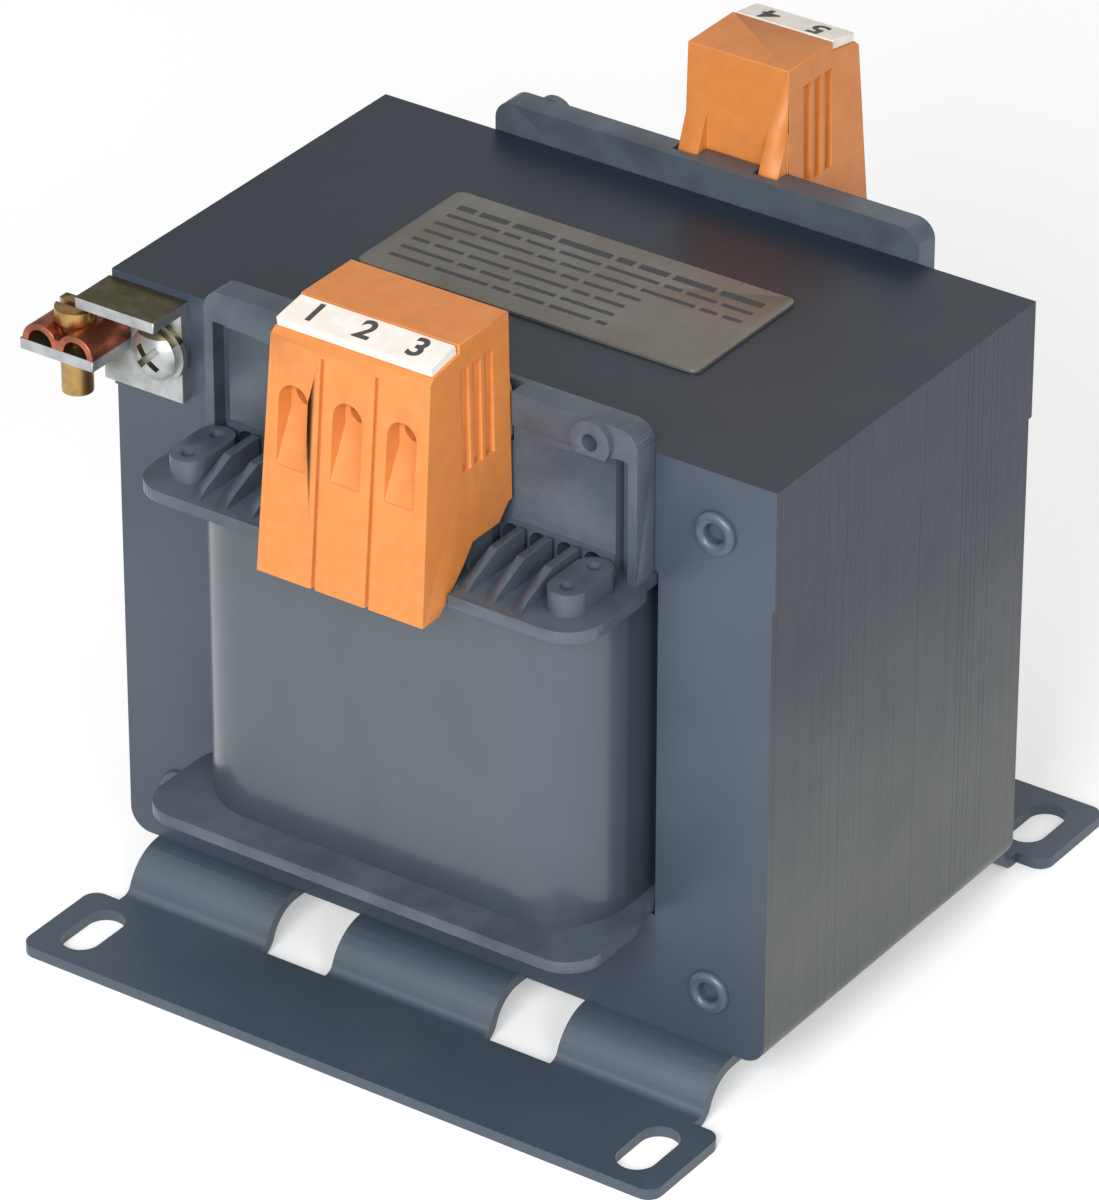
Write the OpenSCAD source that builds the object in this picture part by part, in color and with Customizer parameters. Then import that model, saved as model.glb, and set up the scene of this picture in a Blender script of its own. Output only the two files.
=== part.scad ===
// Laminated chassis transformer. A riveted EI core stands on two formed steel feet.
// A moulded bobbin fills its windows, and the bobbin's rails carry the terminal blocks.
// Origin: middle of the mounting surface. X runs across the laminations, Y along
// the stack with the front at -Y, and Z is up. All sizes are in millimetres.

/* [Core] */
// Width of a lamination, from which the other core sizes follow
core_w = 96; // [90:1:108]
// Depth of the lamination stack
stack_d = 57; // [50:1:66]
// How far the I bars stand out past the E legs on each side
i_step = 0.4; // [0:0.1:0.6]
// Radius of the two lower corners of the core
corner_r = 3; // [1:0.5:4]
// Diameter of the corner holes
hole_d = 4.4; // [4.2:0.1:5]

/* [Feet] */
// Height of the core above the mounting surface
foot_rise = 6.6; // [5.5:0.1:9]
// Thickness of the foot sheet
foot_t = 1.5; // [1:0.1:2]
// How far the feet reach out past the core, front and back
foot_reach = 23.6; // [20:0.1:28]
// Distance between the mounting slots across the core
slot_pitch_x = 84; // [80:1:86]
// Distance between the mounting slots along the stack
slot_pitch_y = 89; // [84:1:92]
// Width of a mounting slot
slot_w = 5.2; // [4.5:0.1:6]
// Overall length of a mounting slot
slot_l = 10; // [8:0.5:11]

/* [Bobbin and coil] */
// How far the bobbin flanges reach out past the core
flange_reach = 18; // [17:0.5:20]
// Thickness of the bobbin flanges
flange_t = 1.6; // [1.2:0.1:2]
// Height of the terminal rails above the core
rail_rise = 4.2; // [3:0.1:6]
// How far the taped coil stands out past the core
coil_reach = 13; // [11:0.5:15]
// Radius of the coil's upright corners
coil_r = 10; // [8:0.5:11]

/* [Terminals] */
// Number of poles of the front block
front_poles = 3; // [2:1:4]
// Number of poles of the rear block
rear_poles = 2; // [2:1:4]
// Width of one pole
pole_pitch = 7.8; // [7.5:0.1:8.2]
// Height of the top of the front block above the core
front_block_rise = 14.9; // [14:0.1:17]
// Height of the top of the rear block above the core
rear_block_rise = 17.9; // [14:0.1:19]
// Middle of both blocks across the core
block_x = 2; // [-2:0.5:4]

/* [Rating plate] */
// Length of the rating plate
plate_w = 50; // [40:1:60]
// Width of the rating plate
plate_d = 22; // [16:1:28]

/* [Hidden] */
$fn = 48;
eps = 0.01;
cut = 1;            // how far a cutter runs past a face
fit = 0.3;          // clearance between the bobbin and the core

// core: the usual EI proportions, all from one sixth of the width
leg_u = core_w / 6;
stack_y = stack_d / 2;
e_h = 4 * leg_u;
window_h = 3 * leg_u;
core_top = foot_rise + 5 * leg_u;
window_bottom = foot_rise + leg_u;
window_top = foot_rise + e_h;
hole_x = core_w / 2 - leg_u / 2;
hole_low_z = foot_rise + leg_u / 2;
hole_high_z = core_top - leg_u / 2;

// rivets
rivet_shank_r = 2.1;
rivet_head_r = 2.9;
rivet_head_t = 0.9;
rivet_dimple_r = 1.3;
rivet_dimple_d = 1.6;

// feet: the sheet leaves the core level, rolls over and runs out flat
foot_y = stack_y + foot_reach;
foot_lap = 14;                       // how far the sheet reaches under the core
foot_roll_r = 6.5;                   // outer radius of the roll
foot_fold_r = 1.5;                   // inner radius of the fold into the flat
foot_roll_y = stack_y + 0.2;
foot_roll_a = acos(1 - (foot_rise - foot_t) / (foot_roll_r + foot_fold_r));
foot_fold_y = foot_roll_y + (foot_roll_r + foot_fold_r) * sin(foot_roll_a);
foot_join_a = 1;                     // overlap of the roll and the fold
foot_body_x = core_w / 2 - 4.4;      // half length of the rolled part
foot_tab_x = core_w / 2 - 0.2;       // half length over the end tabs
foot_tab_y = foot_fold_y + 0.9;      // where the end tabs begin
foot_corner_r = 2;
foot_window_x = leg_u + 1;           // middle of each cut-out in the roll
foot_window_w = 10;
foot_window_in = 1.6;                // how far a cut-out reaches under the core
foot_window_out = 0.2;               // how far it reaches past the fold

// bobbin
tube_wall = 1.2;
tube_x = leg_u + fit;                // half width of the bore
tube_y = stack_y + fit;
flange_x = 2 * leg_u - 0.4;
flange_y = stack_y + flange_reach;
flange_low_z = window_bottom + fit;
flange_top_z = window_top - fit;
coil_low_z = flange_low_z + flange_t;
coil_top_z = flange_top_z - flange_t;
flange_end_x = 2 * leg_u + 1;        // half width of the flanges outside the core
flange_end_r = 5;
flange_neck = 5;                     // how far the narrow part runs out of the core
rail_t = 3.7;
rail_y = stack_y + 0.2;              // inner face of a rail
rail_x = 2 * leg_u - 0.5;
rail_top = core_top + rail_rise;
rail_corner_r = 2.6;
rail_groove_x = rail_x - 3.3;        // start of the groove beside a rail's end post
rail_groove_w = 2;
rail_groove_d = 2.2;
rail_lip_h = 4.4;                    // height of the plain lip along a rail's top
rail_lip_d = 0.5;
eyelet_x = rail_x - 6.1;
eyelet_z = core_top + 1.6;
eyelet_r = 2.8;
eyelet_bore_r = 1.1;
eyelet_bore_d = 3;
eyelet_d = 1;
rib_pitch = pole_pitch / 2;
rib_w = 1.2;
rib_h = 3.2;
rib_in = 1;                          // gap between a rib and the rail
rib_flat = 5.5;                      // length of a rib's level top
rib_knee = [2.5, 1.1];               // where a rib's slope breaks, from the flange's edge
rib_toe = 1;                         // where a rib ends, from the flange's edge
channels_each_way = 8;               // channels laid out each way from a block's middle
lead_slot_w = 2;
anchor_x = rail_x - 3.9;             // middle of the tie-down lugs
anchor_y = stack_y + 9.8;
anchor_r = 2.5;
anchor_l = 10;
anchor_h = 3;
anchor_hole_r = 0.9;
anchor_hole_pitch = 5.6;

// coil layers, as build-up from the tube: primary, insulation, secondary, tape
coil_x = flange_x - 1.8;
coil_y = stack_y + coil_reach;
tube_out_x = tube_x + tube_wall;
tube_out_y = tube_y + tube_wall;
tape_t = 0.8;
insulation_t = 0.6;
primary_share = 0.5;                 // primary's share of the copper build
copper_x = coil_x - tape_t - insulation_t - tube_out_x;
copper_y = coil_y - tape_t - insulation_t - tube_out_y;
primary_x = tube_out_x + primary_share * copper_x;
primary_y = tube_out_y + primary_share * copper_y;
secondary_x = coil_x - tape_t;
secondary_y = coil_y - tape_t;
primary_r = 4;
tube_r = 1;

// terminal blocks, in their own frame: u runs out from the back face, z down from the top
block_top_d = 10;                    // depth of the top behind the marker strip
marker_d = 5.2;
marker_t = 1.2;
marker_drop = 0.9;                   // how much the marker strip leans forwards
marker_end = 0.6;                    // how far the strip stops short of the block's sides
marker_gap = 0.1;
face_step = 0.6;                     // fall from the strip's ledge to the front face
face_top_u = 15.9;
face_low_u = 18.7;
block_h = 33.8;
skirt_t = 3.6;
skirt_top = 29.4;
under_z = 27;
under_u = [0.7, 2.7, 8.1, 10.2];
under_step = 2;
block_draft = 0.7;                   // how much wider each side is at the bottom
entry_w = 4.2;
entry_top = 8.6;
entry_h = 10.6;
entry_d = 2.6;
entry_lip = 0.6;                     // depth of the floor's lower end outside the face
entry_bore_r = 1.4;
seam_top = 4;
seam_w = 0.5;
seam_d = 0.5;
flute_d = 0.6;
flute_w = 1.6;
flute_pitch = 2.4;
flute_u = 3.4;                       // where the first flute in a side begins
flute_z = [3.5, 17];
cell_w = 5.4;
cell_u = [3, 9.2];
cell_top = 9;
lug_w = 3;
lug_d = 2.6;
lug_z = [8.5, 15.5, 16.4, 17.2];
contact_w = 4.4;
contact_t = 1;
contact_top = 10;
contact_lift = 0.5;                  // gap under a contact bar
pin_r = 0.7;
pin_end = 30;
spring_t = 0.5;
spring_w = 4;
spring_gap = 0.3;
spring_legs = [6, 10];               // inner and outer leg below the bend
block_y = stack_y + 4;               // back face of the front block
rear_block_y = stack_y + 4.5;        // back face of the rear block
front_top = core_top + front_block_rise;
rear_top = core_top + rear_block_rise;

// winding leads from the coil up to the contact pins
lead_r = 0.65;
lead_z = flange_top_z + 2;
lead_y = coil_y - 2;

// earth terminal on the upper left corner bolt
earth_t = 1.5;
earth_right_x = 11.2 - core_w / 2;
earth_left_x = -(core_w / 2 + 0.8);
earth_low_z = core_top - 14.6;
earth_top_z = core_top - 1;
earth_shelf_d = 7;                   // depth of the shelf from the core's face
earth_face_y = -stack_y - earth_t;   // front surface of the upright leg
earth_arm_h = 3.6;                   // height of the arm behind the clamp
clamp_x = -(core_w / 2 + 1.8);
clamp_w = 7.6;                       // width of the saddle along the stack
clamp_y = earth_face_y - fit - clamp_w / 2;
clamp_r = 2.7;
clamp_t = 0.9;
clamp_screw_r = 2;
clamp_head_r = 2.6;
clamp_head_t = 1.8;
clamp_screw_end = 5.6;               // how far the screw passes through the tab
tab_top_z = core_top - 7.6;
tab_left_x = clamp_x - 2 * clamp_r - 0.4;
tab_right_x = clamp_x + 2 * clamp_r;
bolt_r = 1.95;
bolt_head_r = 3.4;
bolt_head_t = 2.2;
bolt_dome_r = 5;
bolt_end = 2;                        // how far the bolt passes through its nut
recess_l = 4;
recess_w = 0.9;
recess_d = 1.4;
washer_r = 4;
washer_t = 0.8;
nut_af = 7;
nut_t = 3.2;
running = 0.05;                      // clearance round a thread or a pin

// rating plate
plate_t = 0.4;
plate_r = 1.2;
plate_y = 0.7;

varnish = "#4a5562";
tape_blue = "#5f6b75";
orange = "#e8964a";
copper = "#b06a50";
zinc = "#b9bcc0";
brass = "#b59a55";

// ---------- shared shapes ----------

// a flat rectangle with round corners, centred
module round_rect(half_x, half_y, r) {
    square([2 * half_x - 2 * r, 2 * half_y], center = true);
    square([2 * half_x, 2 * half_y - 2 * r], center = true);
    for (sx = [-1, 1], sy = [-1, 1])
        translate([sx * (half_x - r), sy * (half_y - r)]) circle(r);
}

// part of a flat ring between two angles less than 180 degrees apart
module ring_sector(r_out, r_in, a0, a1) {
    reach = 2 * r_out;
    mid = (a0 + a1) / 2;
    intersection() {
        difference() {
            circle(r_out);
            circle(r_in);
        }
        polygon([[0, 0], for (a = [a0, mid, a1]) reach * [cos(a), sin(a)]]);
    }
}

// a shape drawn in X and Z, run along the stack about its middle
module along_stack(depth) {
    rotate([90, 0, 0]) linear_extrude(depth, center = true) children();
}

// a shape drawn in Y (out from the core) and Z, run across the core
module across_core(width) {
    rotate([90, 0, 90]) linear_extrude(width, center = true) children();
}

// a bore or pin along Y, from y = 0 towards +Y
module pin_along_y(r, length) {
    rotate([-90, 0, 0]) cylinder(r = r, h = length);
}

// the front copy of something drawn for the rear
module to_front() {
    rotate([0, 0, 180]) children();
}

// ---------- core ----------

module corner_holes(z) {
    for (s = [-1, 1]) translate([s * hole_x, z]) circle(d = hole_d);
}

module e_outline() {
    difference() {
        union() {
            translate([-core_w / 2, foot_rise + corner_r]) square([core_w, e_h - corner_r]);
            translate([-core_w / 2 + corner_r, foot_rise]) square([core_w - 2 * corner_r, e_h]);
            for (s = [-1, 1])
                translate([s * (core_w / 2 - corner_r), foot_rise + corner_r]) circle(corner_r);
        }
        for (s = [-1, 1])
            translate([(s * 3 - 1) * leg_u / 2, window_bottom]) square([leg_u, window_h + cut]);
        corner_holes(hole_low_z);
    }
}

module e_lamination_stack() {
    color(varnish) along_stack(stack_d) e_outline();
}

module i_lamination_stack() {
    color(varnish) along_stack(stack_d) difference() {
        translate([-core_w / 2 - i_step, window_top]) square([core_w + 2 * i_step, leg_u]);
        corner_holes(hole_high_z);
    }
}

// the rolled rim of a hollow rivet, on z = 0
module rivet_head() {
    rim_r = (rivet_head_r - rivet_dimple_r) / 2;
    cylinder(r = rivet_head_r, h = rivet_head_t - rim_r + eps);
    translate([0, 0, rivet_head_t - rim_r]) rotate_extrude() intersection() {
        translate([rivet_head_r - rim_r, 0]) circle(rim_r);
        square([rivet_head_r, rim_r]);
    }
}

// three hollow-ended rivets; the fourth corner holds the earth bolt
module core_rivets() {
    color(varnish)
    for (place = [[-hole_x, hole_low_z], [hole_x, hole_low_z], [hole_x, hole_high_z]])
        translate([place[0], 0, place[1]]) difference() {
            union() {
                translate([0, -stack_y - eps, 0]) pin_along_y(rivet_shank_r, stack_d + 2 * eps);
                for (s = [-1, 1]) translate([0, s * stack_y, 0]) rotate([-s * 90, 0, 0]) rivet_head();
            }
            for (s = [-1, 1])
                translate([0, s * (stack_y + rivet_head_t) - rivet_dimple_d, 0])
                    pin_along_y(rivet_dimple_r, 2 * rivet_dimple_d);
        }
}

// ---------- feet ----------

module foot_section() {
    translate([stack_y - foot_lap, foot_rise - foot_t])
        square([foot_lap + foot_roll_y - stack_y + eps, foot_t]);
    translate([foot_roll_y, foot_rise - foot_roll_r])
        ring_sector(foot_roll_r, foot_roll_r - foot_t, 90 - foot_roll_a - foot_join_a, 90);
    translate([foot_fold_y, foot_t + foot_fold_r])
        ring_sector(foot_fold_r + foot_t, foot_fold_r, 270 - foot_roll_a, 270);
    translate([foot_fold_y - eps, 0]) square([foot_y - foot_fold_y + eps, foot_t]);
}

module foot_outline() {
    inner_y = stack_y - foot_lap - cut;
    translate([-foot_body_x, inner_y]) square([2 * foot_body_x, foot_y - inner_y - foot_corner_r]);
    translate([0, (foot_tab_y + foot_y) / 2])
        round_rect(foot_tab_x, (foot_y - foot_tab_y) / 2, foot_corner_r);
}

module foot_cut_outs() {
    for (s = [-1, 1]) {
        translate([s * foot_window_x - foot_window_w / 2, stack_y - foot_window_in])
            square([foot_window_w, foot_fold_y + foot_window_out - stack_y + foot_window_in]);
        translate([s * slot_pitch_x / 2, slot_pitch_y / 2]) {
            square([slot_w, slot_l - slot_w], center = true);
            for (e = [-1, 1]) translate([0, e * (slot_l - slot_w) / 2]) circle(d = slot_w);
        }
    }
}

module rear_foot() {
    color(varnish) intersection() {
        across_core(2 * core_w) foot_section();
        translate([0, 0, -cut]) linear_extrude(foot_rise + 2 * cut) difference() {
            foot_outline();
            foot_cut_outs();
        }
    }
}

module front_foot() {
    to_front() rear_foot();
}

// ---------- bobbin ----------

// narrow inside the windows, wider and round-cornered outside the core
module flange_outline() {
    square([2 * flange_x, 2 * (stack_y + flange_neck)], center = true);
    for (s = [-1, 1]) translate([0, s * (flange_y + tube_y) / 2])
        round_rect(flange_end_x, (flange_y - tube_y) / 2, flange_end_r);
}

module bobbin_bore() {
    square([2 * tube_x, 2 * tube_y], center = true);
}

// upright rail behind the core: X and Z outline with round upper corners
module rail_outline() {
    height = rail_top - flange_top_z;
    translate([-rail_x, flange_top_z - eps]) square([2 * rail_x, height - rail_corner_r]);
    translate([-rail_x + rail_corner_r, flange_top_z]) square([2 * (rail_x - rail_corner_r), height]);
    for (s = [-1, 1])
        translate([s * (rail_x - rail_corner_r), rail_top - rail_corner_r]) circle(rail_corner_r);
}

// arched wire passages along the foot of a rail, one in each channel
module rail_passages(middle_x) {
    arch_r = (rib_pitch - rib_w) / 2;
    for (k = [-channels_each_way : channels_each_way]) {
        x = middle_x + k * rib_pitch;
        if (abs(x) < rail_groove_x - rib_pitch / 2)
            translate([x, flange_top_z]) {
                translate([-arch_r, 0]) square([2 * arch_r, arch_r]);
                translate([0, arch_r]) circle(arch_r);
            }
    }
}

module rail(middle_x, poles, block_top, back_y) {
    outer_y = rail_y + rail_t;
    notch_x = (poles * pole_pitch - lug_w - block_draft) / 2;
    notch_y = back_y - lug_d - fit;
    difference() {
        union() {
            translate([0, rail_y + rail_t / 2, 0]) along_stack(rail_t) rail_outline();
            translate([-eyelet_x, outer_y, eyelet_z]) pin_along_y(eyelet_r, eyelet_d);
        }
        // grooves beside the end posts, and the step below the lip
        for (s = [-1, 1])
            translate([s * (rail_groove_x + rail_groove_w / 2), outer_y, flange_top_z])
                translate([-rail_groove_w / 2, -rail_groove_d, 0])
                    cube([rail_groove_w, rail_groove_d + cut, core_top - flange_top_z]);
        translate([-rail_groove_x, outer_y - rail_lip_d, flange_top_z + rib_h])
            cube([2 * rail_groove_x, rail_lip_d + cut, rail_top - rail_lip_h - flange_top_z - rib_h]);
        translate([-eyelet_x, outer_y + eyelet_d - eyelet_bore_d, eyelet_z])
            pin_along_y(eyelet_bore_r, eyelet_bore_d + cut);
        translate([0, rail_y + rail_t / 2, 0]) along_stack(rail_t + 2 * cut) rail_passages(middle_x);
        // notches for the lugs of the terminal block, closed towards the core
        for (s = [-1, 1])
            translate([middle_x + s * notch_x - lug_w / 2 - fit, notch_y, block_top - lug_z[3] - fit])
                cube([lug_w + 2 * fit, rail_t + cut, rail_rise + core_top]);
    }
}

// ribs that part the wire channels, sloping down to the flange's edge
module channel_ribs(middle_x) {
    start_y = rail_y + rail_t + rib_in;
    for (k = [-channels_each_way : channels_each_way - 1]) {
        x = middle_x + (k + 0.5) * rib_pitch;
        if (abs(x) < anchor_x - anchor_r - rib_w)
            translate([x, 0, flange_top_z - eps]) across_core(rib_w)
                polygon([[start_y, 0], [start_y, rib_h], [start_y + rib_flat, rib_h],
                         [flange_y - rib_knee[0], rib_knee[1]], [flange_y - rib_toe, 0]]);
    }
}

// two posts that the terminal block sits on
module block_seats(middle_x, poles, block_top, back_y) {
    for (s = [-1, 1])
        translate([middle_x + s * (poles * pole_pitch / 2 - rib_w) - rib_w / 2,
                   back_y + under_u[1] + fit, flange_top_z - eps])
            cube([rib_w, under_u[2] - under_u[1] - 2 * fit, block_top - under_z - flange_top_z + eps]);
}

// round-ended lugs with two holes for tying down the leads
module anchor_lugs() {
    for (s = [-1, 1])
        translate([s * anchor_x, anchor_y, flange_top_z - eps])
        linear_extrude(anchor_h + eps) difference() {
            union() {
                square([2 * anchor_r, anchor_l - 2 * anchor_r], center = true);
                for (e = [-1, 1]) translate([0, e * (anchor_l / 2 - anchor_r)]) circle(anchor_r);
            }
            for (e = [-1, 1]) translate([0, e * anchor_hole_pitch / 2]) circle(anchor_hole_r);
        }
}

module lead_slots(middle_x, poles) {
    slot_in = lead_y - lead_slot_w / 2;
    for (i = [0 : poles - 1])
        translate([middle_x + (i - (poles - 1) / 2) * pole_pitch, 0, coil_top_z - cut]) {
            translate([-lead_slot_w / 2, lead_y, 0])
                cube([lead_slot_w, flange_y - lead_y + cut, flange_t + 2 * cut]);
            translate([0, lead_y, 0]) cylinder(d = lead_slot_w, h = flange_t + 2 * cut);
        }
}

module bobbin_end(middle_x, poles, block_top, back_y) {
    rail(middle_x, poles, block_top, back_y);
    channel_ribs(middle_x);
    block_seats(middle_x, poles, block_top, back_y);
    anchor_lugs();
}

// room under a terminal block, where its skirt hooks over the flange's edge
module block_room(middle_x, poles, block_top, back_y) {
    half = poles * pole_pitch / 2 + block_draft / 2 + fit;
    translate([middle_x, back_y, block_top]) across_core(2 * half)
        polygon([[under_u[3] - fit, -skirt_top - fit], [face_low_u - skirt_t - fit, -block_h - fit],
                 [face_low_u + cut, -block_h - fit], [face_low_u + cut, -skirt_top - fit]]);
}

module bobbin() {
    color(varnish) difference() {
        union() {
            difference() {
                union() {
                    for (z = [flange_low_z, coil_top_z])
                        translate([0, 0, z]) linear_extrude(flange_t) flange_outline();
                    translate([0, 0, flange_low_z]) linear_extrude(flange_top_z - flange_low_z)
                        round_rect(tube_out_x, tube_out_y, tube_r);
                }
                translate([0, 0, flange_low_z - cut]) linear_extrude(window_h + 2 * cut) bobbin_bore();
                lead_slots(block_x, rear_poles);
                to_front() lead_slots(-block_x, front_poles);
            }
            bobbin_end(block_x, rear_poles, rear_top, rear_block_y);
            to_front() bobbin_end(-block_x, front_poles, front_top, block_y);
        }
        block_room(block_x, rear_poles, rear_top, rear_block_y);
        to_front() block_room(-block_x, front_poles, front_top, block_y);
    }
}

// ---------- coil ----------

module coil_layer(out_x, out_y, out_r, in_x, in_y, in_r) {
    translate([0, 0, coil_low_z]) linear_extrude(coil_top_z - coil_low_z) difference() {
        round_rect(out_x, out_y, out_r);
        round_rect(in_x, in_y, in_r);
    }
}

module primary_winding() {
    color(copper) coil_layer(primary_x, primary_y, primary_r, tube_out_x, tube_out_y, tube_r);
}

module interwinding_insulation() {
    color("ivory") coil_layer(primary_x + insulation_t, primary_y + insulation_t, primary_r + insulation_t,
                              primary_x, primary_y, primary_r);
}

module secondary_winding() {
    color(copper) coil_layer(secondary_x, secondary_y, coil_r - tape_t,
                             primary_x + insulation_t, primary_y + insulation_t, primary_r + insulation_t);
}

module coil_tape_wrap() {
    color(tape_blue) coil_layer(coil_x, coil_y, coil_r, secondary_x, secondary_y, coil_r - tape_t);
}

// one lead for each pole: up out of the coil, then inwards to the contact pin
module lead_wires(middle_x, poles, back_y) {
    pin_y = back_y + cell_u[0] + pin_r;
    color(copper)
    for (i = [0 : poles - 1])
        translate([middle_x + (i - (poles - 1) / 2) * pole_pitch, 0, 0]) difference() {
            union() {
                translate([0, lead_y, coil_top_z]) cylinder(r = lead_r, h = lead_z - coil_top_z);
                translate([0, lead_y, lead_z]) sphere(lead_r);
                translate([0, pin_y, lead_z]) pin_along_y(lead_r, lead_y - pin_y);
            }
            translate([0, pin_y, lead_z - cut]) cylinder(r = pin_r, h = 2 * cut);
        }
}

module rear_lead_wires() {
    lead_wires(block_x, rear_poles, rear_block_y);
}

module front_lead_wires() {
    to_front() lead_wires(-block_x, front_poles, block_y);
}

// ---------- terminal blocks ----------
// drawn with the back face on y = 0, outwards +Y, and the top at z = 0

module block_section() {
    polygon([[0, 0], [block_top_d, 0], [block_top_d, -marker_t],
             [block_top_d + marker_d, -marker_t - marker_drop],
             [face_top_u, -marker_t - marker_drop - face_step],
             [face_low_u, -block_h], [face_low_u - skirt_t, -block_h],
             [under_u[3], -skirt_top], [under_u[2], -under_z], [under_u[1], -under_z],
             [under_u[0], -under_z + under_step], [0, -under_z + under_step]]);
}

// front view of a block: slightly wider at the bottom than at the top
module block_front_outline(poles) {
    half = poles * pole_pitch / 2;
    polygon([[-half + block_draft / 2, 0], [half - block_draft / 2, 0],
             [half + block_draft / 2, -block_h], [-half - block_draft / 2, -block_h]]);
}

// arched recess with a sloping floor where a wire goes in
module wire_entry() {
    r = entry_w / 2;
    face_u = face_top_u + (face_low_u - face_top_u) * entry_top / block_h;
    intersection() {
        translate([0, face_u, 0]) rotate([90, 0, 0]) linear_extrude(2 * entry_d, center = true) {
            translate([0, -entry_top - r]) circle(r);
            translate([-r, -entry_top - entry_h]) square([entry_w, entry_h - r]);
        }
        across_core(2 * entry_w)
            polygon([[face_u - entry_d, -entry_top + cut], [face_u + entry_d, -entry_top + cut],
                     [face_u + entry_d, -entry_top - entry_h],
                     [face_u + entry_lip, -entry_top - entry_h],
                     [face_u - entry_d, -entry_top - entry_w]]);
    }
    translate([0, cell_u[1] - cut, -entry_top - r]) pin_along_y(entry_bore_r, face_u - cell_u[1]);
}

module block_lug() {
    across_core(lug_w) polygon([[0, -lug_z[0]], [-lug_d, -lug_z[1]], [-lug_d, -lug_z[2]], [0, -lug_z[3]]]);
}

module terminal_housing(poles) {
    half = poles * pole_pitch / 2;
    color(orange) difference() {
        union() {
            intersection() {
                across_core(4 * half) block_section();
                translate([0, face_low_u / 2, 0]) along_stack(2 * face_low_u) block_front_outline(poles);
            }
            for (s = [-1, 1]) translate([s * (half - lug_w / 2 - block_draft / 2), eps, 0]) block_lug();
        }
        for (i = [0 : poles - 1]) translate([(i - (poles - 1) / 2) * pole_pitch, 0, 0]) {
            wire_entry();
            translate([-cell_w / 2, cell_u[0], -under_z - cut])
                cube([cell_w, cell_u[1] - cell_u[0], under_z + cut - cell_top]);
        }
        // seams between the poles on the front face
        if (poles > 1) for (i = [1 : poles - 1])
            translate([(i - poles / 2) * pole_pitch, 0, 0]) across_core(seam_w)
                polygon([[face_top_u - seam_d, -seam_top], [face_top_u + cut, -seam_top],
                         [face_low_u + cut, -block_h - cut], [face_low_u - seam_d, -block_h - cut]]);
        // three shallow flutes in each side, with two ribs left between them
        for (s = [-1, 1], k = [0 : 2])
            translate([s * (half - block_draft / 2), flute_u + k * flute_pitch, -flute_z[1]])
                translate([s > 0 ? -flute_d : -cut, 0, 0])
                    cube([flute_d + cut, flute_w, flute_z[1] - flute_z[0]]);
    }
}

module contacts(poles) {
    color(brass)
    for (i = [0 : poles - 1]) translate([(i - (poles - 1) / 2) * pole_pitch, 0, 0]) {
        translate([-contact_w / 2, cell_u[0], -under_z + contact_lift])
            cube([contact_w, contact_t, under_z - contact_lift - contact_top]);
        translate([0, cell_u[0] + pin_r, -pin_end])
            cylinder(r = pin_r, h = pin_end - under_z + contact_lift + eps);
    }
}

// a bent clamping spring for each pole, standing against its contact bar
module springs(poles) {
    r_out = (cell_u[1] - cell_u[0] - contact_t - spring_gap) / 2;
    mid_u = cell_u[0] + contact_t + r_out;
    color("silver")
    for (i = [0 : poles - 1]) translate([(i - (poles - 1) / 2) * pole_pitch, 0, 0]) across_core(spring_w) {
        translate([mid_u, -entry_top - entry_w]) {
            ring_sector(r_out, r_out - spring_t, 0, 90);
            ring_sector(r_out, r_out - spring_t, 90, 180);
            translate([-r_out, -spring_legs[0]]) square([spring_t, spring_legs[0] + eps]);
            translate([r_out - spring_t, -spring_legs[1]]) square([spring_t, spring_legs[1] + eps]);
        }
    }
}

module marker_strip(poles) {
    lean = atan(marker_drop / marker_d);
    color("white")
    translate([0, block_top_d, -marker_t]) rotate([-lean, 0, 0])
        translate([marker_end - poles * pole_pitch / 2, marker_gap, 0])
            cube([poles * pole_pitch - 2 * marker_end, marker_d - 2 * marker_gap, marker_t]);
}

module place_rear_block() {
    translate([block_x, rear_block_y, rear_top]) children();
}

module place_front_block() {
    to_front() translate([-block_x, block_y, front_top]) children();
}

module front_terminal_housing() { place_front_block() terminal_housing(front_poles); }
module front_terminal_contacts() { place_front_block() contacts(front_poles); }
module front_terminal_springs() { place_front_block() springs(front_poles); }
module front_marker_strip() { place_front_block() marker_strip(front_poles); }
module rear_terminal_housing() { place_rear_block() terminal_housing(rear_poles); }
module rear_terminal_contacts() { place_rear_block() contacts(rear_poles); }
module rear_terminal_springs() { place_rear_block() springs(rear_poles); }
module rear_marker_strip() { place_rear_block() marker_strip(rear_poles); }

// ---------- earth terminal ----------

// one folded sheet: upright leg, shelf along its top, and an arm that ends in the clamp's tab
module earth_bracket() {
    leg_w = earth_right_x - earth_left_x;
    tab_z = tab_top_z - earth_t;
    tab_front_y = clamp_y - clamp_w / 2;
    color(zinc) difference() {
        union() {
            translate([earth_left_x, earth_face_y, earth_low_z])
                cube([leg_w, earth_t, earth_top_z - earth_low_z]);
            translate([earth_left_x, -stack_y - earth_shelf_d, earth_top_z - earth_t])
                cube([leg_w, earth_shelf_d, earth_t]);
            translate([tab_left_x, earth_face_y, tab_z])
                cube([earth_left_x - tab_left_x + cut, earth_t, earth_arm_h]);
            translate([tab_left_x, tab_front_y, tab_z])
                cube([earth_left_x - fit - tab_left_x, -stack_y - tab_front_y, earth_t]);
            translate([tab_left_x, tab_front_y, tab_z]) cube([tab_right_x - tab_left_x, clamp_w, earth_t]);
        }
        translate([-hole_x, earth_face_y - cut, hole_high_z]) pin_along_y(hole_d / 2, earth_t + 2 * cut);
        translate([clamp_x, clamp_y, tab_z - cut])
            cylinder(r = clamp_screw_r + running, h = earth_t + 2 * cut);
    }
}

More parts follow.
